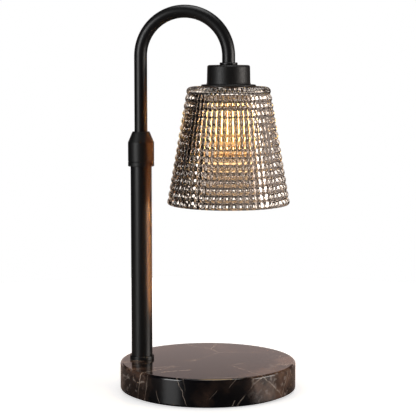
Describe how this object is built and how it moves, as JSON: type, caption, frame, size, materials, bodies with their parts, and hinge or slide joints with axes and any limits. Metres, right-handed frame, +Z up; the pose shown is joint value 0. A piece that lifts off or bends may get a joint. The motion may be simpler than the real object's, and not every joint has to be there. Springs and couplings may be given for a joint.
{
  "type": "candle warmer lamp",
  "caption": "Table lamp that melts a jar candle from above: round stone base, telescopic pole, half-circle gooseneck and a pressed-glass shade over a halogen bulb.",
  "frame": {"origin": "centre of the base's underside, on the surface the lamp stands on", "axes": "+Z up; the pole stands on the -X side and the arm reaches towards +X"},
  "size_m": [0.15, 0.15, 0.3269],
  "materials": {
    "marble": "polished",
    "foam": "matte",
    "black_nylon": "moulded",
    "zinc_steel": "zinc plated",
    "black_powder": "satin powder coat",
    "black_collar": "fine moulded grain",
    "black_cup": "textured powder coat",
    "brass": "turned",
    "natural_nylon": "moulded",
    "ceramic": "fired, unglazed",
    "smoked_glass": "pressed relief, smoke tint",
    "fibre": "matte",
    "turned_aluminium": "turned",
    "pin_nickel": "nickel plated",
    "reflector": "aluminised glass",
    "lens_glass": "clear, lightly stippled",
    "quartz": "clear quartz",
    "wire": "silicone sheath",
    "connector": "moulded"
  },
  "bodies": {
    "base_assembly": {"marble_base": "marble", "base_pad": "foam", "cord_gland": "black_nylon", "pole_stud": "zinc_steel", "pole_washer": "zinc_steel", "pole_lock_washer": "zinc_steel", "pole_nut": "zinc_steel", "pole_foot_ring": "black_powder", "pole_bottom_plug": "zinc_steel", "lower_pole": "black_powder", "collar_ferrule": "brass", "base_lead": "wire", "wire_connectors": "connector", "slack_lead": "wire"},
    "clamp": {"clamp_collet": "natural_nylon"},
    "collar": {"lock_collar": "black_collar"},
    "arm_assembly": {"guide_bush": "natural_nylon", "gooseneck": "black_powder", "arm_lead": "wire", "neck_ring": "black_powder", "head_nipple": "zinc_steel", "head_lock_washer": "zinc_steel", "head_nut": "zinc_steel", "bracket_nut": "zinc_steel", "socket_cup": "black_cup", "holder_bracket": "zinc_steel", "lamp_holder": "ceramic", "holder_contacts": "brass", "holder_screws": "zinc_steel", "upper_gasket": "fibre", "glass_shade": "smoked_glass", "lower_gasket": "fibre", "shade_ring": "turned_aluminium"},
    "bulb": {"bulb_base": "ceramic", "bulb_pins": "pin_nickel", "bulb_reflector": "reflector", "bulb_lens": "lens_glass", "halogen_capsule": "quartz"}
  },
  "joints": [
    {"name": "arm_swivel", "type": "hinge", "parent": "base_assembly", "child": "clamp", "pos_m": [-0.0575, 0, 0.199], "axis": [0, 0, 1], "range_deg": [-90, 90]},
    {"name": "height_slide", "type": "slide", "parent": "clamp", "child": "arm_assembly", "axis": [0, 0, 1], "range_m": [-0.06, 0.025], "deforming": ["slack_lead"]},
    {"name": "collar_twist", "type": "hinge", "parent": "base_assembly", "child": "collar", "pos_m": [-0.0575, 0, 0.205], "axis": [0, 0, 1], "range_deg": [0, 180]},
    {"name": "bulb_twist", "type": "hinge", "parent": "arm_assembly", "child": "bulb", "pos_m": [0.0175, 0, 0.249], "axis": [0, 0, 1], "range_deg": [-20, 0]}
  ]
}
